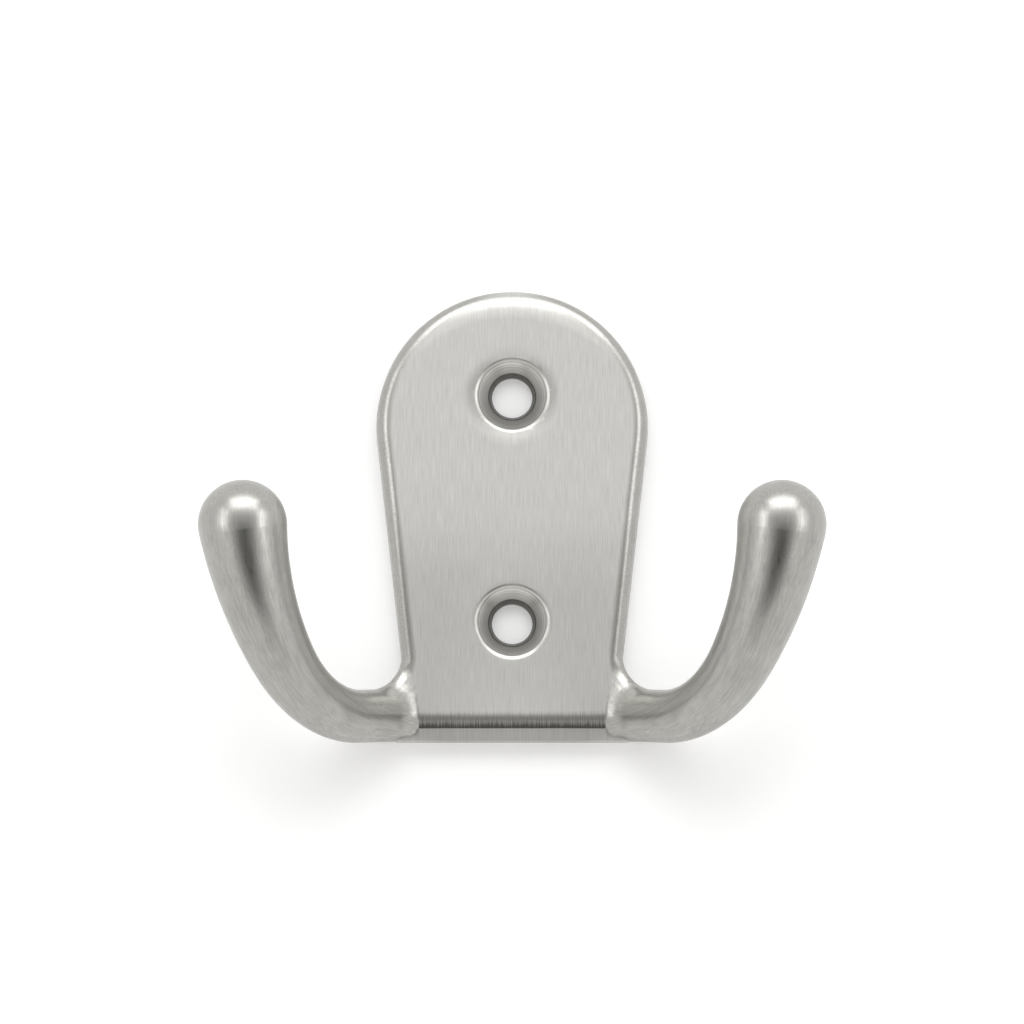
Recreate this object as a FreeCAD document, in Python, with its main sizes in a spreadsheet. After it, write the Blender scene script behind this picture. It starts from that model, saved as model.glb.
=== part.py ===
import FreeCAD, Part
import math
import os
import Sketcher
from FreeCAD import Vector

# A double robe hook: one casting in stainless steel. A spade-shaped plate with two
# countersunk screw holes, and two round arms that leave its foot, splay outwards and
# curve up to ball tips. X runs across the hook, Z is up, the wall is the plane y = 0 and
# the front looks towards -Y. The origin is the middle of the screw pattern, on the wall.

doc = FreeCAD.newDocument("double_robe_hook")

# Driving sizes in millimetres and degrees. Depths are measured down from the origin.
SIZES = {
    # plate
    "plate_thickness": 3.4,
    "edge_draft": 4.0,
    "head_radius": 15.5,
    "head_centre_height": 9.75,
    "side_slope": 6.4,
    "web_radius": 3.85,
    "web_floor_depth": 20.95,
    "foot_overhang": 1.97,
    "foot_height": 5.55,
    "foot_shoulder_radius": 2.4,
    "foot_corner_radius": 3.0,
    "edge_roll": 1.6,
    # face
    "crown_width": 3.4,
    "crown_drop": 0.9,
    "lower_roll_height": 1.9,
    "rail_setback": 0.8,
    "rail_height": 1.4,
    "rail_slope": 8.0,
    "rail_reach": 13.2,
    # screw holes
    "hole_pitch": 26.0,
    "bore_radius": 2.3,
    "throat_radius": 2.65,
    "throat_depth": 0.8,
    "sink_radius": 4.1,
    "sink_half_angle": 45.0,
    "rim_roll": 0.7,
    "upper_dish_width": 1.7,
    "upper_dish_drop": 0.2,
    "lower_dish_width": 0.8,
    "lower_dish_drop": 0.07,
    # arms
    "splay_angle": 52.0,
    "root_inset": 0.23,
    "root_dip": 6.3,
    "low_point_reach": 9.7,
    "low_point_rise": 2.21,
    "low_bend_radius": 16.0,
    "low_bend_end": 47.7,
    "shank_bend_radius": 30.1,
    "shank_end": 78.1,
    "root_sink": 3.0,
    "root_radius": 3.0,
    "shank_radius": 3.62,
    "tip_radius": 5.0,
    "tip_flare": 5.0,
    "root_blend": 1.5,
}

sheet = doc.addObject("Spreadsheet::Sheet", "sizes")
for row, (name, value) in enumerate(SIZES.items(), start=1):
    sheet.set("A%d" % row, name)
    sheet.set("B%d" % row, str(value))
    sheet.setAlias("B%d" % row, name)
doc.recompute()


def size(name):
    return sheet.get(name)


body = doc.addObject("PartDesign::Body", "hook_body")
body.Label = "hook_body"
PLANES = {feature.Role: feature for feature in body.Origin.OriginFeatures}
C = Sketcher.Constraint
START, END, CENTRE = range(1, 4)
AXIS_Y = -2
ORIGIN = (-1, 1)
NEAR = 0.03


def sketch_on(plane, name):
    sketch = body.newObject("Sketcher::SketchObject", name)
    sketch.AttachmentSupport = [(PLANES[plane], "")]
    sketch.MapMode = "FlatFace"
    return sketch


def drive(sketch, constraint, expression):
    index = sketch.addConstraint(constraint)
    sketch.setExpression("Constraints[%d]" % index, expression)
    return index


def value(expression):
    return float(sheet.evalExpression(expression))


def at(place):
    return Vector(value(place[0]), value(place[1]), 0)


def pin(sketch, element, point, place):
    drive(sketch, C("DistanceX", *ORIGIN, element, point, value(place[0])), place[0])
    drive(sketch, C("DistanceY", *ORIGIN, element, point, value(place[1])), place[1])


def arc(centre, radius, start, end):
    circle = Part.Circle(centre, Vector(0, 0, 1), radius)
    return Part.ArcOfCircle(circle, circle.parameter(start), circle.parameter(end))


def mirrored(point):
    return Vector(-point.x, point.y, 0)


def chain(sketch, places, first_centre=None):
    # A closed run of edges through places given as expressions, each corner pinned. The
    # first edge is an arc where its centre is given.
    edges = []
    for place, following in zip(places, places[1:] + places[:1]):
        if first_centre and not edges:
            centre = at(first_centre)
            radius = centre.distanceToPoint(at(place))
            edges.append(sketch.addGeometry(arc(centre, radius, at(place), at(following))))
        else:
            edges.append(sketch.addGeometry(Part.LineSegment(at(place), at(following))))
    for before, edge, place in zip(edges[-1:] + edges, edges, places):
        sketch.addConstraint(C("Coincident", before, END, edge, START))
        pin(sketch, edge, START, place)
    if first_centre:
        drive(sketch, C("DistanceX", *ORIGIN, edges[0], CENTRE, at(first_centre).x),
              first_centre[0])


def edges_where(shape, test):
    return ["Edge%d" % number for number, edge in enumerate(shape.Edges, start=1)
            if not edge.Degenerated and test(edge)]


def middle_of(edge):
    return edge.valueAt(sum(edge.ParameterRange) / 2)


def rounded(name, base, test, radius):
    doc.recompute()
    fillet = body.newObject("PartDesign::Fillet", name)
    fillet.Base = (base, edges_where(base.Shape, test))
    fillet.setExpression("Radius", radius)
    doc.recompute()
    return fillet


# Plate outline on the wall plane, tangent all the way round. Round webs lead from the
# waist, where the straight sides end, to the shoulders of a foot that lies behind the arms.
WAIST = (
    "(sizes.head_radius * cos(sizes.side_slope) - tan(sizes.side_slope)"
    " * (sizes.head_centre_height - sizes.head_radius * sin(sizes.side_slope)"
    " + sizes.web_floor_depth - sizes.web_radius * (1 + sin(sizes.side_slope))))")
ARM_OFFSET = "(%s - sizes.root_inset)" % WAIST
FLOOR = "(-sizes.web_floor_depth - sizes.foot_height)"
head_r = size("head_radius")
head_z = size("head_centre_height")
slope = math.radians(size("side_slope"))
web_r = size("web_radius")
web_z = web_r - size("web_floor_depth")
overhang = size("foot_overhang")
shoulder_r = size("foot_shoulder_radius")
corner_r = size("foot_corner_radius")
floor_z = value(FLOOR)
side_top = Vector(head_r * math.cos(slope), head_z - head_r * math.sin(slope), 0)
side_foot = Vector(value(WAIST), web_z + web_r * math.sin(slope), 0)
web_centre = Vector(side_foot.x + web_r * math.cos(slope), web_z, 0)
reach = side_foot.x + overhang
shoulder_x = reach - shoulder_r
shoulder_drop = math.sqrt((web_r + shoulder_r) ** 2 - (web_centre.x - shoulder_x) ** 2)
shoulder_centre = Vector(shoulder_x, web_z - shoulder_drop, 0)
web_end = web_centre + (shoulder_centre - web_centre) * (web_r / (web_r + shoulder_r))
end_top = Vector(reach, shoulder_centre.y, 0)
corner_start = Vector(reach, floor_z + corner_r, 0)
corner_end = Vector(reach - corner_r, floor_z, 0)
corner_centre = Vector(reach - corner_r, floor_z + corner_r, 0)

outline = sketch_on("XZ_Plane", "plate_outline")
head = outline.addGeometry(arc(Vector(0, head_z, 0), head_r, side_top, mirrored(side_top)))
side_right = outline.addGeometry(Part.LineSegment(side_foot, side_top))
web_right = outline.addGeometry(arc(web_centre, web_r, side_foot, web_end))
shoulder_right = outline.addGeometry(arc(shoulder_centre, shoulder_r, end_top, web_end))
end_right = outline.addGeometry(Part.LineSegment(end_top, corner_start))
corner_right = outline.addGeometry(arc(corner_centre, corner_r, corner_end, corner_start))
floor = outline.addGeometry(Part.LineSegment(mirrored(corner_end), corner_end))
corner_left = outline.addGeometry(
    arc(mirrored(corner_centre), corner_r, mirrored(corner_start), mirrored(corner_end)))
end_left = outline.addGeometry(Part.LineSegment(mirrored(corner_start), mirrored(end_top)))
shoulder_left = outline.addGeometry(
    arc(mirrored(shoulder_centre), shoulder_r, mirrored(web_end), mirrored(end_top)))
web_left = outline.addGeometry(
    arc(mirrored(web_centre), web_r, mirrored(web_end), mirrored(side_foot)))
side_left = outline.addGeometry(Part.LineSegment(mirrored(side_top), mirrored(side_foot)))

outline.addConstraint(C("Tangent", side_right, END, head, START))
outline.addConstraint(C("Tangent", side_right, START, web_right, START))
outline.addConstraint(C("Tangent", web_right, END, shoulder_right, END))
outline.addConstraint(C("Tangent", shoulder_right, START, end_right, START))
outline.addConstraint(C("Tangent", end_right, END, corner_right, END))
outline.addConstraint(C("Tangent", corner_right, START, floor, END))
outline.addConstraint(C("Tangent", side_left, START, head, END))
outline.addConstraint(C("Tangent", side_left, END, web_left, END))
outline.addConstraint(C("Tangent", web_left, START, shoulder_left, START))
outline.addConstraint(C("Tangent", shoulder_left, END, end_left, END))
outline.addConstraint(C("Tangent", end_left, START, corner_left, START))
outline.addConstraint(C("Tangent", corner_left, END, floor, START))
outline.addConstraint(C("PointOnObject", head, CENTRE, AXIS_Y))
outline.addConstraint(C("Vertical", end_right))
outline.addConstraint(C("Symmetric", side_right, START, side_left, END, AXIS_Y))
outline.addConstraint(C("Symmetric", end_right, START, end_left, END, AXIS_Y))
outline.addConstraint(C("Symmetric", floor, START, floor, END, AXIS_Y))
outline.addConstraint(C("Equal", shoulder_right, shoulder_left))
outline.addConstraint(C("Equal", corner_right, corner_left))
drive(outline, C("Radius", head, head_r), "sizes.head_radius")
drive(outline, C("DistanceY", *ORIGIN, head, CENTRE, head_z), "sizes.head_centre_height")
drive(outline, C("Radius", web_right, web_r), "sizes.web_radius")
drive(outline, C("Angle", AXIS_Y, START, side_right, START, -slope), "-sizes.side_slope")
drive(outline, C("DistanceY", web_right, CENTRE, *ORIGIN, -web_z),
      "sizes.web_floor_depth - sizes.web_radius")
drive(outline, C("DistanceX", web_right, START, end_right, START, overhang),
      "sizes.foot_overhang")
drive(outline, C("Radius", shoulder_right, shoulder_r), "sizes.foot_shoulder_radius")
drive(outline, C("DistanceY", floor, END, *ORIGIN, -floor_z), "-" + FLOOR)
drive(outline, C("Radius", corner_right, corner_r), "sizes.foot_corner_radius")

plate = body.newObject("PartDesign::Pad", "plate")
plate.Profile = outline
plate.setExpression("Length", "sizes.plate_thickness")
plate.setExpression("TaperAngle", "-sizes.edge_draft")

# Front of the plate. The crown falls back to the edge round the head, from a round of the
# head's own radius set lower, so it is widest at the top and runs out at the sides.
FACE = "(-sizes.plate_thickness)"
CLEAR = "(-2 * sizes.plate_thickness)"
CROWN_TOP = "(sizes.head_radius + sizes.crown_width)"
CROWN_ABOVE = "(2 * sizes.head_radius + sizes.crown_width)"
CROWN_FACE = FACE + " + sizes.crown_drop"


def roll_centre(width, drop):
    # Depth of the centre of an arc that leaves the face flush and falls back by the drop
    return FACE + " + (%s ^ 2 + %s ^ 2) / (2 * %s)" % (width, drop, drop)


crown = sketch_on("YZ_Plane", "crown_profile")
crown.setExpression(
    "AttachmentOffset.Base.y", "sizes.head_centre_height - sizes.crown_width")
chain(crown,
      [(CROWN_FACE, CROWN_TOP), (FACE, "sizes.head_radius"), (CLEAR, "sizes.head_radius"),
       (CLEAR, CROWN_ABOVE), (CROWN_FACE, CROWN_ABOVE)],
      (roll_centre("sizes.crown_width", "sizes.crown_drop"), "sizes.head_radius"))
crown_cut = body.newObject("PartDesign::Groove", "crown_cut")
crown_cut.Profile = crown
crown_cut.ReferenceAxis = (crown, ["H_Axis"])
crown_cut.Angle = 180
crown_cut.Midplane = True


def on_front_side(edge):
    straight = edge.Curve.TypeId == "Part::GeomLine"
    long_side = edge.BoundBox.ZMax > 0 > edge.BoundBox.ZMin
    return straight and long_side and abs(middle_of(edge).y + size("plate_thickness")) < NEAR


rolled_edge = rounded("rolled_edge", crown_cut, on_front_side, "sizes.edge_roll")

# The face ends below in a roll above a square rail, which is set back from it and leans
# back towards its lower edge
BELOW = "(2 * %s)" % FLOOR
RAIL_TOP = "(%s + sizes.rail_height)" % FLOOR
RAIL_FACE = "(%s + sizes.rail_setback)" % FACE
RAIL_FOOT = "(%s + sizes.rail_height * tan(sizes.rail_slope))" % RAIL_FACE
ROLL_TOP = "(%s + sizes.lower_roll_height)" % RAIL_TOP

rail_outline = sketch_on("XZ_Plane", "rail_outline")
chain(rail_outline,
      [("-sizes.rail_reach", FLOOR), ("sizes.rail_reach", FLOOR),
       ("sizes.rail_reach", RAIL_TOP), ("-sizes.rail_reach", RAIL_TOP)])
rail = body.newObject("PartDesign::Pad", "rail")
rail.Profile = rail_outline
rail.setExpression("Length", "sizes.plate_thickness")

rail_profile = sketch_on("YZ_Plane", "rail_profile")
chain(rail_profile,
      [(FACE, ROLL_TOP), (RAIL_FACE, RAIL_TOP), (RAIL_FOOT, FLOOR), (RAIL_FOOT, BELOW),
       (CLEAR, BELOW), (CLEAR, ROLL_TOP)],
      (roll_centre("sizes.lower_roll_height", "sizes.rail_setback"), ROLL_TOP))
rail_cut = body.newObject("PartDesign::Pocket", "rail_cut")
rail_cut.Profile = rail_profile
rail_cut.Type = "ThroughAll"
rail_cut.Midplane = True

# Arms: each lies along an upright plane that stands at the splay angle to the wall. A
# short round run dips from the plate, then a low bend and a wide bend carry the arm to its
# tip, and there the section swells all the way.
BEND_CENTRE = (
    "sizes.low_point_reach", "(%s + sizes.low_point_rise + sizes.low_bend_radius)" % FLOOR)
RIGHT_PLANE = (
    "create(<<placement>>; create(<<vector>>; " + ARM_OFFSET + "; 0; 0);"
    " create(<<rotation>>; create(<<vector>>; 0; 1; 0); -sizes.splay_angle))")
LEFT_PLANE = (
    "create(<<placement>>; create(<<vector>>; -" + ARM_OFFSET + "; 0; 0);"
    " create(<<rotation>>; create(<<vector>>; 0; 1; 0); sizes.splay_angle - 180))")
ALONG = (
    " * create(<<placement>>; create(<<vector>>; %s; %s; 0);"
    " create(<<rotation>>; create(<<vector>>; 0; 0; 1); %s)")
ACROSS = ALONG + " * create(<<rotation>>; create(<<vector>>; 0; 1; 0); 90))"


def low_bend(angle):
    return ("(sizes.low_point_reach + sizes.low_bend_radius * sin(%s))" % angle,
            "(%s - sizes.low_bend_radius * cos(%s))" % (BEND_CENTRE[1], angle))


def shank_bend(angle):
    return ("(%s + sizes.shank_bend_radius * (sin(%s) - sin(sizes.low_bend_end)))"
            % (low_bend("sizes.low_bend_end")[0], angle),
            "(%s + sizes.shank_bend_radius * (cos(sizes.low_bend_end) - cos(%s)))"
            % (low_bend("sizes.low_bend_end")[1], angle))


BEND_START = low_bend("(-sizes.root_dip)")
BEND_END = low_bend("sizes.low_bend_end")
SHANK_CENTRE = shank_bend("0")[0], "(%s + sizes.shank_bend_radius)" % shank_bend("0")[1]
SHANK_END = shank_bend("sizes.shank_end")
ROOT = ("(-sizes.root_sink)",
        "(%s + (%s + sizes.root_sink) * tan(sizes.root_dip))" % (BEND_START[1], BEND_START[0]))
RUN_LENGTH = "(%s + sizes.root_sink) / cos(sizes.root_dip)" % BEND_START[0]
NECK_RADIUS = "sizes.tip_radius * cos(sizes.tip_flare)"


def arm_spine(name, arm_plane):
    spine = sketch_on("XZ_Plane", name)
    spine.setExpression("AttachmentOffset", arm_plane)
    bend_radius = size("low_bend_radius")
    shank_radius = size("shank_bend_radius")
    bend = spine.addGeometry(arc(at(BEND_CENTRE), bend_radius, at(BEND_START), at(BEND_END)))
    shank = spine.addGeometry(arc(at(SHANK_CENTRE), shank_radius, at(BEND_END), at(SHANK_END)))
    spine.addConstraint(C("Tangent", bend, END, shank, START))
    pin(spine, bend, START, BEND_START)
    pin(spine, shank, END, SHANK_END)
    drive(spine, C("Radius", bend, bend_radius), "sizes.low_bend_radius")
    drive(spine, C("Radius", shank, shank_radius), "sizes.shank_bend_radius")
    return spine


def arm_section(name, arm_plane, place, angle, radius):
    section = sketch_on("XZ_Plane", name)
    section.setExpression("AttachmentOffset", arm_plane + ACROSS % (*place, angle))
    ring = section.addGeometry(Part.Circle(Vector(0, 0, 0), Vector(0, 0, 1), value(radius)))
    section.addConstraint(C("Coincident", ring, CENTRE, *ORIGIN))
    drive(section, C("Radius", ring, value(radius)), radius)
    return section


for side, arm_plane in (("right", RIGHT_PLANE), ("left", LEFT_PLANE)):
    run = body.newObject("PartDesign::Pad", side + "_run")
    run.Profile = arm_section(
        side + "_root", arm_plane, ROOT, "-sizes.root_dip", "sizes.root_radius")
    run.setExpression("Length", RUN_LENGTH)
    arm = body.newObject("PartDesign::AdditivePipe", side + "_arm")
    arm.Spine = (arm_spine(side + "_spine", arm_plane), [])
    arm.Profile = arm_section(
        side + "_run_end", arm_plane, BEND_START, "-sizes.root_dip", "sizes.root_radius")
    arm.Sections = [
        arm_section(side + "_bend_end", arm_plane, BEND_END, "sizes.low_bend_end",
                    "sizes.shank_radius"),
        arm_section(side + "_neck", arm_plane, SHANK_END, "sizes.shank_end", NECK_RADIUS)]
    arm.Mode = "Frenet"
    arm.Transformation = "Multisection"
    ball_profile = sketch_on("XZ_Plane", side + "_ball_profile")
    ball_profile.setExpression(
        "AttachmentOffset", arm_plane + ALONG % (*SHANK_END, "sizes.shank_end") + ")")
    chain(ball_profile,
          [("sizes.tip_radius * (1 + sin(sizes.tip_flare))", "0"), ("0", NECK_RADIUS),
           ("0", "0")],
          ("sizes.tip_radius * sin(sizes.tip_flare)", "0"))
    ball = body.newObject("PartDesign::Revolution", side + "_ball")
    ball.Profile = ball_profile
    ball.ReferenceAxis = (ball_profile, ["H_Axis"])

# The back is ground flat where it meets the wall
SPAN = "(%s + sizes.low_point_reach + sizes.tip_radius)" % ARM_OFFSET
behind = sketch_on("XZ_Plane", "behind_the_wall")
chain(behind, [("-" + SPAN, BELOW), (SPAN, BELOW), (SPAN, "0"), ("-" + SPAN, "0")])
ground_back = body.newObject("PartDesign::Pocket", "ground_back")
ground_back.Profile = behind
ground_back.Type = "ThroughAll"


def at_arm_root(edge):
    # Where an arm leaves the face and its rolled edge, above the rail
    middle = middle_of(edge)
    face_depth = -size("plate_thickness")
    fronts = [face.BoundBox.YMin
              for face in ground_back.Shape.ancestorsOfType(edge, Part.Face)]
    on_arm = min(fronts) < face_depth - size("root_radius") / 2
    on_plate = max(fronts) > face_depth - NEAR
    in_front = middle.y < face_depth + size("edge_roll")
    return on_arm and on_plate and in_front and middle.z > value(RAIL_TOP)


root_blend = rounded("root_blend", ground_back, at_arm_root, "sizes.root_blend")

# Screw holes: a straight bore, a steep throat and a countersink for a flat head, whose rim
# is rounded and dished by the polishing
for name, height in (("upper", "sizes.hole_pitch / 2"), ("lower", "-sizes.hole_pitch / 2")):
    dish_width = "sizes.%s_dish_width" % name
    dish_drop = "sizes.%s_dish_drop" % name
    dish_radius = "(sizes.sink_radius + %s)" % dish_width
    sink_face = FACE + " + " + dish_drop
    throat_start = sink_face + (
        " + (sizes.sink_radius - sizes.throat_radius) / tan(sizes.sink_half_angle)")
    throat_end = throat_start + " + sizes.throat_depth"
    profile = sketch_on("YZ_Plane", name + "_hole_profile")
    profile.setExpression("AttachmentOffset.Base.y", height)
    chain(profile,
          [(FACE, dish_radius), (sink_face, "sizes.sink_radius"),
           (throat_start, "sizes.throat_radius"), (throat_end, "sizes.bore_radius"),
           ("sizes.plate_thickness", "sizes.bore_radius"), ("sizes.plate_thickness", "0"),
           (CLEAR, "0"), (CLEAR, dish_radius)],
          (roll_centre(dish_width, dish_drop), dish_radius))
    hole = body.newObject("PartDesign::Groove", name + "_hole")
    hole.Profile = profile
    hole.ReferenceAxis = (profile, ["H_Axis"])


def on_sink_rim(edge):
    round_edge = edge.Curve.TypeId == "Part::GeomCircle"
    dished = max(size("upper_dish_drop"), size("lower_dish_drop"))
    on_face = middle_of(edge).y < dished - size("plate_thickness") + NEAR
    return round_edge and on_face and abs(edge.Curve.Radius - size("sink_radius")) < NEAR


sink_rims = rounded("sink_rims", hole, on_sink_rim, "sizes.rim_roll")
body.Tip = sink_rims
doc.recompute()

for item in doc.Objects:
    if "Invalid" in item.State or "Error" in item.State:
        raise RuntimeError("%s did not build" % item.Name)
if body.Shape.isNull() or not body.Shape.isValid() or len(body.Shape.Solids) != 1:
    raise RuntimeError("the hook is not one sound solid")

os.makedirs("parts", exist_ok=True)
body.Shape.exportStep("parts/%s.step" % body.Label)
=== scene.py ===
import math

import bmesh
import bpy
from mathutils import Matrix, Vector
from mathutils.bvhtree import BVHTree
from mathutils.kdtree import KDTree


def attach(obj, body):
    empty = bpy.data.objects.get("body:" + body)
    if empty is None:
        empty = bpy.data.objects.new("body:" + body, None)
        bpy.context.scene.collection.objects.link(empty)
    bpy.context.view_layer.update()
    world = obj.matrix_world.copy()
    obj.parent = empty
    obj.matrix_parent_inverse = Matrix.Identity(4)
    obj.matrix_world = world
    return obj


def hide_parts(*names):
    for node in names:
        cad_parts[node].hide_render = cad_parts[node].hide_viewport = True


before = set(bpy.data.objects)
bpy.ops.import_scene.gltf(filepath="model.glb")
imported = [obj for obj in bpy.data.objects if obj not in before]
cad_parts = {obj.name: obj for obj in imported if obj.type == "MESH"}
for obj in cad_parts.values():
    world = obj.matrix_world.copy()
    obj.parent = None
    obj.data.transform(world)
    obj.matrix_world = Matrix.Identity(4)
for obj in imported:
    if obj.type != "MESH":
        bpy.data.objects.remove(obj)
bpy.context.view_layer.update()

MM = 0.001

# Hook body: one casting in stainless steel, plate, arms and ball tips together. The plate
# is linished in upright lines, the countersinks are turned, and the arms are polished by
# hand along their length, which rounds out the hollows at their roots.
rough_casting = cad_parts["hook_body"]
FACE_DEPTH = -3.4 * MM
HOLE_HEIGHT = 13.0 * MM
SINK_RADIUS = 4.1 * MM
HOLLOW_RADIUS = 4.5 * MM
HOLLOW_START = 10.3 * MM
HOLLOW_FULL = 11.3 * MM
BACK_CLEAR = 1.5 * MM
UNDERSIDE = -26.3 * MM
UNDERSIDE_CLEAR = -25.3 * MM
ROOT_END = 21 * MM
ROOT_TOP = -11 * MM
FINE = 0.4 * MM
CUTS = 8
MERGE_GAP = 0.001 * MM
STRAY_ANGLE = math.radians(15)
FLAT_FACING = -0.97


def from_root(place):
    # How far a place is from the nearer arm root, seen from the front
    across = abs(place.x)
    return math.hypot(max(HOLLOW_START - across, across - ROOT_END, 0),
                      max(place.z - ROOT_TOP, 0))


# The casting's own surface, cut finer round the arm roots, with its exact normals kept
mesh = rough_casting.data.copy()
mesh.name = "hook_body_polished"
kept = mesh.attributes.new("exact_normal", "FLOAT_VECTOR", "CORNER")
normals = [0.0] * (3 * len(mesh.loops))
mesh.corner_normals.foreach_get("vector", normals)
kept.data.foreach_set("vector", normals)
body = bmesh.new()
body.from_mesh(mesh)
bmesh.ops.remove_doubles(body, verts=body.verts, dist=MERGE_GAP)
exact = body.loops.layers.float_vector["exact_normal"]

# A few slivers at the dished rims of the holes give their neighbours a stray normal
for face in body.faces:
    for loop in face.loops:
        stray = loop[exact].angle(face.normal, 0) > STRAY_ANGLE
        if stray and face.normal.y < FLAT_FACING:
            loop[exact] = face.normal

# Long edges are halved, the longest first, and their two triangles with them
for cut in range(CUTS):
    long_edges = [e for e in body.edges if e.calc_length() > max(
        FINE, from_root((e.verts[0].co + e.verts[1].co) / 2))]
    for edge in sorted(long_edges, key=lambda e: -e.calc_length()):
        ends = list(edge.verts)
        sides = [(f, next(v for v in f.verts if v not in ends)) for f in edge.link_faces]
        half, middle = bmesh.utils.edge_split(edge, ends[0], 0.5)
        for face, far_corner in sides:
            bmesh.utils.face_split(face, middle, far_corner)

# A ball of HOLLOW_RADIUS is rolled over the roots. Where a hollow stops it from touching,
# the surface is brought up to the ball. Its middle is pushed away from the nearest part of
# the surface until it is clear of all of it.
PUSHES = 40
NEAR_ENOUGH = 0.0001 * MM
LEAST_MOVE = 0.002 * MM
surface = BVHTree.FromBMesh(body)
rolled = []
for vertex in body.verts:
    if from_root(vertex.co) > 0:
        continue
    outwards = sum((loop[exact] for loop in vertex.link_loops), Vector()).normalized()
    centre = vertex.co + outwards * HOLLOW_RADIUS
    for push in range(PUSHES):
        nearest, normal, face, gap = surface.find_nearest(centre)
        away = centre - nearest
        inside = away.dot(normal) < 0
        if gap > HOLLOW_RADIUS - NEAR_ENOUGH and not inside:
            break
        away = normal if inside or gap < NEAR_ENOUGH else away.normalized()
        centre = nearest + away * HOLLOW_RADIUS
    rolled.append((vertex, centre))
centres = KDTree(len(rolled))
for index, (vertex, centre) in enumerate(rolled):
    centres.insert(centre, index)
centres.balance()

# The moves fade out towards the middle of the plate, its back and its underside
moves = []
for vertex, centre in rolled:
    centre, index, gap = centres.find(vertex.co)
    if gap < HOLLOW_RADIUS + LEAST_MOVE:
        continue
    share = 1
    for distance, start, full in ((abs(vertex.co.x), HOLLOW_START, HOLLOW_FULL),
                                  (-vertex.co.y, 0, BACK_CLEAR),
                                  (vertex.co.z, UNDERSIDE, UNDERSIDE_CLEAR)):
        eased = min(max((distance - start) / (full - start), 0), 1)
        share *= eased * eased * (3 - 2 * eased)
    toward = (centre - vertex.co).normalized()
    moves.append((vertex, toward * (gap - HOLLOW_RADIUS) * share, toward, share))
for vertex, move, toward, share in moves:
    vertex.co += move
    for loop in vertex.link_loops:
        loop[exact] = loop[exact].lerp(toward, share).normalized()
body.to_mesh(mesh)
body.free()
normals = [corner.vector.copy() for corner in mesh.attributes["exact_normal"].data]
mesh.attributes.remove(mesh.attributes["exact_normal"])
mesh.normals_split_custom_set(normals)

# The arms are polished along a belt's path, which is close to a circle in the upright plane
# of each arm: the lines follow the distance from its middle and the distance across.
ARM_START = 12.5 * MM
ARM_SPLAY = math.radians(52)
BELT_REACH = 4.0 * MM
BELT_HEIGHT = -3.0 * MM
BELT_RADIUS = 24.0 * MM
belt = mesh.attributes.new("belt_line", "FLOAT_VECTOR", "POINT")
for vertex, line in zip(mesh.vertices, belt.data):
    out, forward = abs(vertex.co.x) - ARM_START, -vertex.co.y
    reach = out * math.cos(ARM_SPLAY) + forward * math.sin(ARM_SPLAY) - BELT_REACH
    height = vertex.co.z - BELT_HEIGHT
    line.vector = (math.hypot(reach, height),
                   forward * math.cos(ARM_SPLAY) - out * math.sin(ARM_SPLAY),
                   math.atan2(height, reach) * BELT_RADIUS)
hook = bpy.data.objects.new("hook_body_polished", mesh)
bpy.context.scene.collection.objects.link(hook)
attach(hook, "root")
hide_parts("hook_body")


def linear(hex_colour):
    channels = [int(hex_colour[i:i + 2], 16) / 255 for i in (1, 3, 5)]
    return [c / 12.92 if c <= 0.04045 else ((c + 0.055) / 1.055) ** 2.4 for c in channels] + [1.0]


def add_node(tree, kind, settings=None, **inputs):
    # Inputs go by name, or by number as i0, i1. A node that is given stands for its output.
    made = tree.nodes.new("ShaderNode" + kind)
    for name, setting in (settings or {}).items():
        setattr(made, name, setting)
    for name, given in inputs.items():
        socket = made.inputs[int(name[1:]) if name[1:].isdigit() else name.replace("_", " ")]
        if isinstance(given, bpy.types.Node):
            given = next(output for output in given.outputs if output.enabled)
        if isinstance(given, bpy.types.NodeSocket):
            tree.links.new(given, socket)
        else:
            socket.default_value = given
    return made


# Satin stainless steel, a warm light grey. The flat face is linished: fine upright lines
# spread its reflections sideways. The rest is polished by hand, and a little smoother.
steel = bpy.data.materials.new("satin_stainless_steel")
steel.use_nodes = True
tree = steel.node_tree
tree.nodes.clear()
MULTIPLY, ADD, LARGER = ({"operation": name} for name in ("MULTIPLY", "ADD", "MAXIMUM"))
SIZE_OF, SQUARED = {"operation": "ABSOLUTE"}, {"operation": "POWER"}
COLOUR = {"data_type": "RGBA"}
where = add_node(tree, "TexCoord").outputs["Object"]
place = add_node(tree, "SeparateXYZ", Vector=where).outputs
shape = add_node(tree, "NewGeometry").outputs
facing = add_node(tree, "SeparateXYZ", Vector=shape["Normal"]).outputs
across = add_node(tree, "Math", SIZE_OF, i0=place["X"])

# The linished part ends where the surface turns sideways, at the arms and in the holes
SOFT_EDGE = 0.1 * MM
on_arm = add_node(tree, "MapRange", Value=place["Y"], From_Min=FACE_DEPTH - SOFT_EDGE,
                  From_Max=FACE_DEPTH - 0.9 * MM)
turned = add_node(tree, "Math", SIZE_OF, i0=facing["X"])
on_side = add_node(tree, "MapRange", Value=turned, From_Min=0.04, From_Max=0.22)
height = add_node(tree, "Math", SIZE_OF, i0=place["Z"])
rise = add_node(tree, "Math", {"operation": "SUBTRACT"}, i0=height, i1=HOLE_HEIGHT)
from_hole = add_node(tree, "Math", {"operation": "SQRT"}, i0=add_node(
    tree, "Math", ADD, i0=add_node(tree, "Math", SQUARED, i0=place["X"], i1=2.0),
    i1=add_node(tree, "Math", SQUARED, i0=rise, i1=2.0)))
in_front = add_node(tree, "MapRange", Value=place["Y"], From_Min=-0.02 * MM,
                    From_Max=-0.06 * MM)
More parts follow.
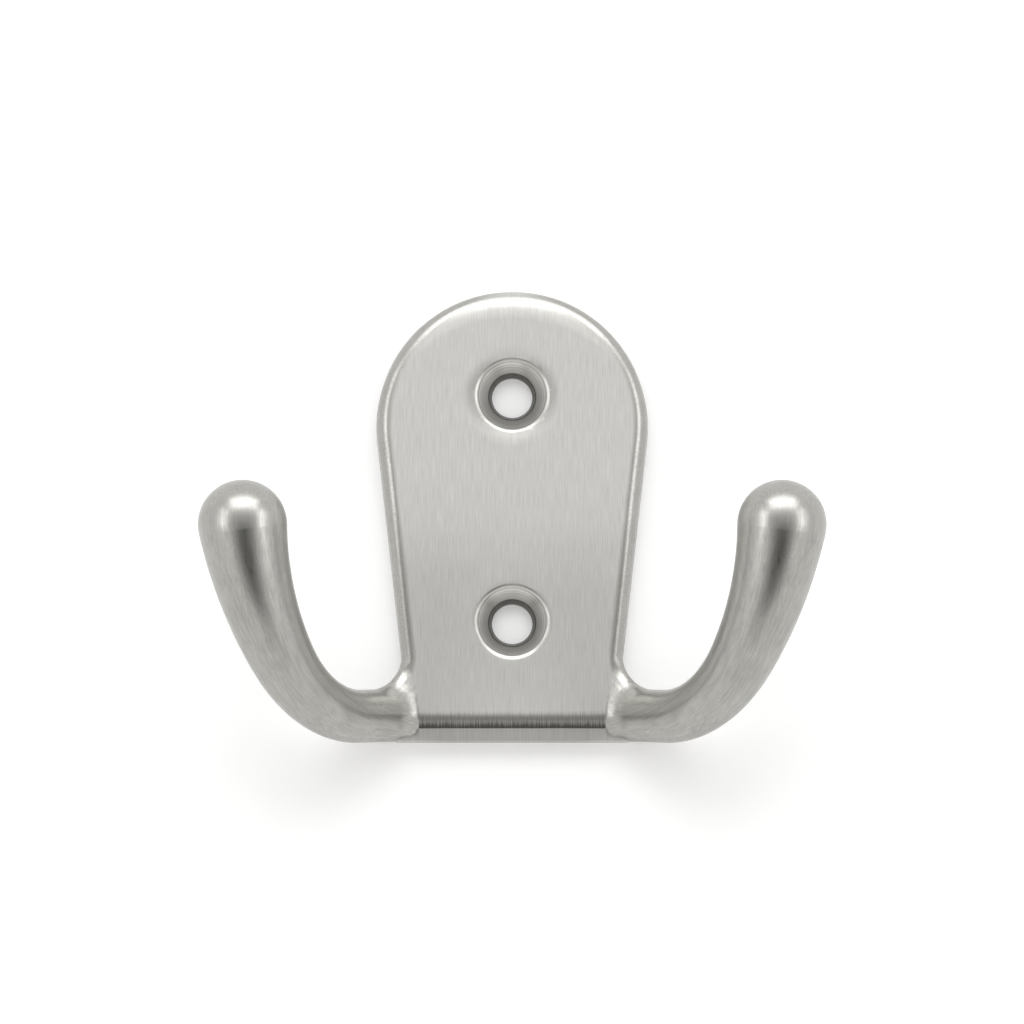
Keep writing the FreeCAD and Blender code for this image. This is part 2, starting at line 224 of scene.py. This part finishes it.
sink_round = add_node(tree, "MapRange", Value=from_hole, From_Min=SINK_RADIUS + SOFT_EDGE,
                      From_Max=SINK_RADIUS - SOFT_EDGE)
in_sink = add_node(tree, "Math", MULTIPLY, i0=in_front, i1=sink_round)
smooth = add_node(tree, "Math", LARGER, i0=add_node(
    tree, "Math", LARGER, i0=on_arm, i1=on_side), i1=in_sink)

# Upright lines on the face, 0.12 mm apart and about 3 mm long. Real ones are finer: they
# are drawn as coarse as a pixel of the photograph, so that they show.
LINE_WIDTH = 0.12 * MM
LINE_LENGTH = 3 * MM
upright = add_node(tree, "Mapping", Vector=where, Scale=(1 / LINE_WIDTH, 0, 1 / LINE_LENGTH))
lines = add_node(tree, "TexNoise", Vector=upright, Scale=1.0, Detail=2.0, Roughness=0.6)
line_share = add_node(tree, "MapRange", Value=lines.outputs["Fac"], From_Min=0.3, From_Max=0.7)
# Painted light: the face's colours are set lighter than the arms', for the brighter reflections
# of the flat face; its upright lines are real linishing
lined = add_node(tree, "Mix", COLOUR, i0=line_share, i6=linear("#c4c3bf"),
                 i7=linear("#d6d5d1"))

# Below the face, the corner above the rail is coloured dark with a ragged upper edge: painted
# shade for the hollow between the face's roll and the rail. The belt only brushes the rail itself
CORNER_TOP = -23.4 * MM
CORNER_FOOT = -24.9 * MM
RAIL_TOP = -25.15 * MM
RAIL_EDGE = 0.05 * MM
EDGE_JITTER = 0.25 * MM
edge_offset = add_node(tree, "MapRange", Value=lines.outputs["Fac"], From_Min=0.35,
                     From_Max=0.65, To_Min=-EDGE_JITTER, To_Max=EDGE_JITTER)
ragged_height = add_node(tree, "Math", ADD, i0=place["Z"], i1=edge_offset)
shade_depth = add_node(tree, "MapRange", Value=ragged_height, From_Min=CORNER_TOP,
                     From_Max=CORNER_FOOT)
above_rail = add_node(tree, "MapRange", Value=place["Z"], From_Min=RAIL_TOP - RAIL_EDGE,
                      From_Max=RAIL_TOP + RAIL_EDGE)
in_painted_shade = add_node(tree, "Math", MULTIPLY, i0=in_front, i1=add_node(
    tree, "Math", MULTIPLY, i0=shade_depth, i1=above_rail))
# Painted shade: the corner above the rail is mixed to dark grey #4c4b48
painted_corner_shade = add_node(tree, "Mix", COLOUR, i0=in_painted_shade, i6=lined.outputs[2],
                       i7=linear("#4c4b48"))
below_top = add_node(tree, "MapRange", Value=place["Z"], From_Min=RAIL_TOP + RAIL_EDGE,
                     From_Max=RAIL_TOP - RAIL_EDGE)
before_arms = add_node(tree, "MapRange", Value=across, From_Min=HOLLOW_FULL,
                       From_Max=0.8 * HOLLOW_START)
on_rail = add_node(tree, "Math", MULTIPLY, i0=in_front, i1=add_node(
    tree, "Math", MULTIPLY, i0=below_top, i1=before_arms))
# Painted light: the rail's colours are set lighter than the arms', for its brighter reflections
rail_metal = add_node(tree, "Mix", COLOUR, i0=line_share, i6=linear("#b2b1ad"),
                      i7=linear("#c4c3bf"))
face_metal = add_node(tree, "Mix", COLOUR, i0=on_rail, i6=painted_corner_shade.outputs[2],
                      i7=rail_metal.outputs[2])
around = add_node(tree, "Tangent", {"direction_type": "RADIAL", "axis": "Z"})
face_gloss = add_node(tree, "MapRange", Value=lines.outputs["Fac"], From_Min=0.3,
                      From_Max=0.7, To_Min=0.38, To_Max=0.46)
linished = add_node(tree, "BsdfPrincipled", Base_Color=face_metal.outputs[2], Metallic=1.0,
                    Roughness=face_gloss, Anisotropic=0.9, Tangent=around)

# Polishing lines along the arms, 0.2 mm apart and about 8 mm long, with cloudy patches
# where the polishing was uneven. In the countersinks the same lines are turned rings. The
# throat of each hole is coloured dark, as painted shade for the inside of the bore.
POLISH_WIDTH = 0.2 * MM
POLISH_LENGTH = 8 * MM
CLOUD_SIZE = 2.5 * MM
THROAT_RADIUS = 2.68 * MM
belt_line = add_node(tree, "Attribute", {"attribute_name": "belt_line"})
arm_lines = add_node(tree, "Mapping", Vector=belt_line.outputs["Vector"], Scale=(
    1 / POLISH_WIDTH, 1 / POLISH_WIDTH, 1 / POLISH_LENGTH))
ring_count = add_node(tree, "Math", {"operation": "DIVIDE"}, i0=from_hole, i1=POLISH_WIDTH)
rings = add_node(tree, "CombineXYZ", X=ring_count)
tool_path = add_node(tree, "Mix", {"data_type": "VECTOR"}, i0=in_sink, i4=arm_lines, i5=rings)
marks = add_node(tree, "TexNoise", Vector=tool_path.outputs[1], Scale=1.0, Detail=2.0,
                 Roughness=0.6).outputs["Fac"]
clouds = add_node(tree, "TexNoise", Vector=where, Scale=1 / CLOUD_SIZE, Detail=3.0,
                  Roughness=0.6).outputs["Fac"]
uneven = add_node(tree, "Math", ADD, i0=add_node(tree, "Math", MULTIPLY, i0=marks, i1=0.7),
                  i1=add_node(tree, "Math", MULTIPLY, i0=clouds, i1=0.3))
uneven_share = add_node(tree, "MapRange", Value=uneven, From_Min=0.35, From_Max=0.65)
arm_metal = add_node(tree, "Mix", COLOUR, i0=uneven_share, i6=linear("#9d9c98"),
                     i7=linear("#b0afab"))
ring_share = add_node(tree, "MapRange", Value=marks, From_Min=0.35, From_Max=0.65)
ringed = add_node(tree, "Mix", COLOUR, i0=ring_share, i6=linear("#adaca8"),
                  i7=linear("#dddcd8"))
polish_metal = add_node(tree, "Mix", COLOUR, i0=in_sink, i6=arm_metal.outputs[2],
                        i7=ringed.outputs[2])
throat_round = add_node(tree, "MapRange", Value=from_hole, From_Min=THROAT_RADIUS + 0.12 * MM,
                        From_Max=THROAT_RADIUS)
throat_shade = add_node(tree, "Math", MULTIPLY, i0=in_front, i1=throat_round)
# Painted shade: the throat of each hole is mixed to dark grey #5a5955
metal_with_throat_shade = add_node(tree, "Mix", COLOUR, i0=throat_shade, i6=polish_metal.outputs[2],
                      i7=linear("#5a5955"))
polish_gloss = add_node(tree, "MapRange", Value=uneven, From_Min=0.35, From_Max=0.65,
                        To_Min=0.36, To_Max=0.27)
polished = add_node(tree, "BsdfPrincipled", Base_Color=metal_with_throat_shade.outputs[2], Metallic=1.0,
                    Roughness=polish_gloss)
finish = add_node(tree, "MixShader", i0=smooth, i1=linished, i2=polished)
add_node(tree, "OutputMaterial", Surface=finish)
hook.material_slots[0].material = steel

# Wall and floor: plain pale boards. The hook is fixed to the wall, and both are seen from
# the room's side only.
WALL_REACH = 2.0
WALL_GAP = 0.02 * MM
FLOOR_HEIGHT = -0.8
WHITE_LIFT = 0.16
TOUCH = 0.2 * MM


def board(name, corners, material):
    mesh = bpy.data.meshes.new(name)
    mesh.from_pydata([Vector(c) for c in corners], [], [range(len(corners))])
    mesh.materials.append(material)
    made = bpy.data.objects.new(name, mesh)
    bpy.context.scene.collection.objects.link(made)
    return made


def one_sided(name, colour):
    material = bpy.data.materials.new(name)
    material.use_nodes = True
    tree = material.node_tree
    tree.nodes.clear()
    back = add_node(tree, "NewGeometry").outputs["Backfacing"]
    paint = add_node(tree, "BsdfDiffuse", Color=linear(colour))
    ray = add_node(tree, "LightPath").outputs
    mirrored = add_node(tree, "Math", LARGER, i0=ray["Is Glossy Ray"],
                        i1=ray["Is Transmission Ray"])
    seen = add_node(tree, "Math", LARGER, i0=ray["Is Camera Ray"], i1=mirrored)
    brightness = add_node(tree, "Math", MULTIPLY, i0=seen, i1=WHITE_LIFT)
    lift = add_node(tree, "Emission", Color=linear("#ffffff"), Strength=brightness)
    front = add_node(tree, "AddShader", i0=paint, i1=lift)
    # The plate's back touches the wall, and is seen from behind as if the wall were gone
    near = add_node(tree, "MapRange", Value=ray["Ray Length"], From_Min=2 * TOUCH,
                    From_Max=TOUCH)
    touching = add_node(tree, "Math", MULTIPLY, i0=ray["Is Glossy Ray"], i1=near)
    unseen = add_node(tree, "Math", LARGER, i0=back, i1=touching)
    clear = add_node(tree, "BsdfTransparent")
    side = add_node(tree, "MixShader", i0=unseen, i1=front, i2=clear)
    add_node(tree, "OutputMaterial", Surface=side)
    return material


board("wall", [(x * WALL_REACH, WALL_GAP, z) for x, z in (
    (-1, FLOOR_HEIGHT), (1, FLOOR_HEIGHT), (1, WALL_REACH), (-1, WALL_REACH))],
    one_sided("white_board", "#ffffff"))
board("floor", [(x * WALL_REACH, y, FLOOR_HEIGHT) for x, y in (
    (-1, -2 * WALL_REACH), (1, -2 * WALL_REACH), (1, WALL_GAP), (-1, WALL_GAP))],
    one_sided("pale_floor", "#e4e3e1"))

# Light: a white room, brighter above than below, so that the shadows fall downwards
world = bpy.data.worlds.new("white_room")
bpy.context.scene.world = world
world.use_nodes = True
room = world.node_tree
room.nodes.clear()
ray = add_node(room, "LightPath").outputs
mirrored = add_node(room, "Math", LARGER, i0=ray["Is Glossy Ray"], i1=ray["Is Transmission Ray"])
seen = add_node(room, "Math", LARGER, i0=ray["Is Camera Ray"], i1=mirrored)
toward = add_node(room, "SeparateXYZ", Vector=add_node(room, "TexCoord").outputs["Generated"])
soft_light = add_node(room, "MapRange", Value=toward.outputs["Z"], From_Min=-0.2, From_Max=0.6,
                      To_Min=0.0, To_Max=1.42)
strength = add_node(room, "MapRange", Value=seen, To_Min=soft_light, To_Max=1.0)
white = add_node(room, "Background", Color=linear("#ffffff"), Strength=strength)
add_node(room, "OutputWorld", Surface=white)


# Reflectors: a large soft lamp above the front, a narrow one at each side, and a grey card
# below with a dark middle. They show in the metal and don't light the wall.
def direction(azimuth, elevation):
    a, e = math.radians(azimuth), math.radians(elevation)
    return Vector((math.sin(a) * math.cos(e), -math.cos(a) * math.cos(e), math.sin(e)))


def lamp(name, azimuth, elevation, distance, width, height, brightness):
    # A soft lamp that faces the hook, with its brightness as seen from there, 1 being white
    data = bpy.data.lights.new(name, "AREA")
    data.shape = "RECTANGLE"
    data.size, data.size_y = width, height
    data.energy = brightness * math.pi * width * height
    made = bpy.data.objects.new(name, data)
    made.location = direction(azimuth, elevation) * distance
    made.rotation_euler = direction(azimuth, elevation).to_track_quat("Z", "Y").to_euler()
    made.visible_diffuse = False
    bpy.context.scene.collection.objects.link(made)
    return made


LAMP_DISTANCE = 1.0
lamp("key_lamp", 4, 52, LAMP_DISTANCE, 1.15, 0.55, 2.7)
lamp("left_lamp", -50, 8, LAMP_DISTANCE, 0.36, 0.75, 1.7)
lamp("right_lamp", 52, 8, LAMP_DISTANCE, 0.36, 0.75, 1.9)

# The only lamp that lights the wall, for a soft shadow just below the arms
wall_lamp = lamp("wall_lamp", 0, 38, LAMP_DISTANCE, 0.5, 0.5, 2.0)
wall_lamp.visible_diffuse = True
wall_lamp.visible_glossy = False

CARD_DISTANCE = 0.7
CARD_LEFT, CARD_RIGHT, CARD_LOW, CARD_HIGH = (
    math.tan(math.radians(angle)) * CARD_DISTANCE for angle in (-34, 38, -46, 18))
DARK_MIDDLE = (0.05, -CARD_DISTANCE, -0.42)
DARK_REACH = (0.36, 1.0, 0.36)
grey = bpy.data.materials.new("graded_card")
grey.use_nodes = True
tree = grey.node_tree
tree.nodes.clear()
where = add_node(tree, "TexCoord").outputs["Object"]
spot = add_node(tree, "Mapping", {"vector_type": "TEXTURE"}, Vector=where,
                Location=DARK_MIDDLE, Scale=DARK_REACH)
outwards = add_node(tree, "VectorMath", {"operation": "LENGTH"}, i0=spot).outputs["Value"]
paleness = add_node(tree, "MapRange", Value=outwards, From_Min=0.45, From_Max=1.15)
shade = add_node(tree, "Mix", COLOUR, i0=paleness, i6=linear("#0c0c0c"), i7=linear("#d2d2d2"))
glow = add_node(tree, "Emission", Color=shade.outputs[2])
add_node(tree, "OutputMaterial", Surface=glow)
card = board("graded_card", [(x, -CARD_DISTANCE, z) for x, z in (
    (CARD_LEFT, CARD_LOW), (CARD_RIGHT, CARD_LOW), (CARD_RIGHT, CARD_HIGH),
    (CARD_LEFT, CARD_HIGH))], grey)
card.visible_camera = False
card.visible_shadow = False
card.visible_diffuse = False

# Camera: a long lens from 8 degrees below square-on, as in the photograph
CAMERA_DISTANCE = 1.2
CAMERA_TILT = math.radians(8)
PIXELS_PER_MM = 8.8
PATTERN_PIXEL = (512.2, 507.9)
FRAME_PIXELS = 1024
along = Vector((0, math.cos(CAMERA_TILT), math.sin(CAMERA_TILT)))
up = Vector((0, -math.sin(CAMERA_TILT), math.cos(CAMERA_TILT)))
right = Vector((1, 0, 0))
off_right = (PATTERN_PIXEL[0] - FRAME_PIXELS / 2) / PIXELS_PER_MM * MM
off_up = (FRAME_PIXELS / 2 - PATTERN_PIXEL[1]) / PIXELS_PER_MM * MM
aim = Vector((0, FACE_DEPTH, 0)) - right * off_right - up * off_up
lens = bpy.data.cameras.new("camera")
lens.sensor_width = 36  # millimetres, as for a full-frame camera
lens.lens = lens.sensor_width * CAMERA_DISTANCE / (FRAME_PIXELS / PIXELS_PER_MM * MM)
lens.clip_end = 20
camera = bpy.data.objects.new("camera", lens)
camera.matrix_world = Matrix((right, up, -along)).transposed().to_4x4()
camera.location = aim - along * CAMERA_DISTANCE
bpy.context.scene.collection.objects.link(camera)
bpy.context.scene.camera = camera
bpy.context.scene.view_settings.view_transform = "Standard"
